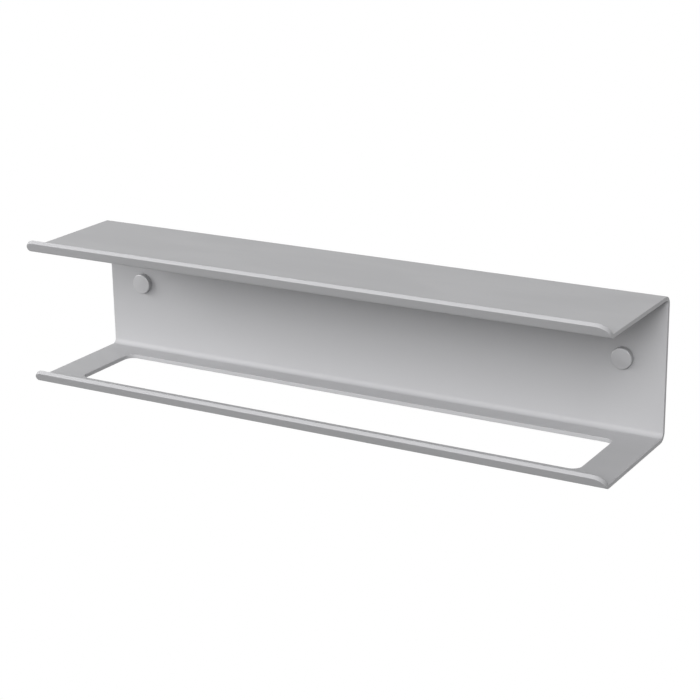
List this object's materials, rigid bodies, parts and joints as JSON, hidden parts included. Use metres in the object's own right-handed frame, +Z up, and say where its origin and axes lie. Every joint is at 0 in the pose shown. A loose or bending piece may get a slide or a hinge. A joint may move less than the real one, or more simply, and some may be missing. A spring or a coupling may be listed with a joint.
{
  "type": "towel rack with shelf",
  "caption": "Wall-mounted towel rack folded from sheet metal: a lipped shelf over a lower plate whose long window leaves a towel rail, with pull-off round screw caps.",
  "frame": {"origin": "on the wall face of the back plate, midway between the two wall screws", "axes": "+Z up, +Y into the wall, +X along the rack to the right as seen from the room"},
  "size_m": [0.6, 0.1816, 0.1451],
  "materials": {
    "sheet": "satin anodised, pale grey",
    "cap": "satin turned, pale grey",
    "collar": "turned, zinc plated",
    "seal": "matte black",
    "screw": "bright stainless",
    "plug": "moulded grey nylon"
  },
  "bodies": {
    "rack": {"folded_sheet": "sheet", "left_cap_collar": "collar", "right_cap_collar": "collar", "left_cap_o_ring": "seal", "right_cap_o_ring": "seal", "left_wall_screw": "screw", "right_wall_screw": "screw", "left_wall_plug": "plug", "right_wall_plug": "plug"},
    "left_cap": {"left_screw_cap": "cap"},
    "right_cap": {"right_screw_cap": "cap"}
  },
  "joints": [
    {"name": "left_cap_pull", "type": "slide", "parent": "rack", "child": "left_cap", "axis": [0, -1, 0], "range_m": [0, 0.16]},
    {"name": "right_cap_pull", "type": "slide", "parent": "rack", "child": "right_cap", "axis": [0, -1, 0], "range_m": [0, 0.16]}
  ]
}
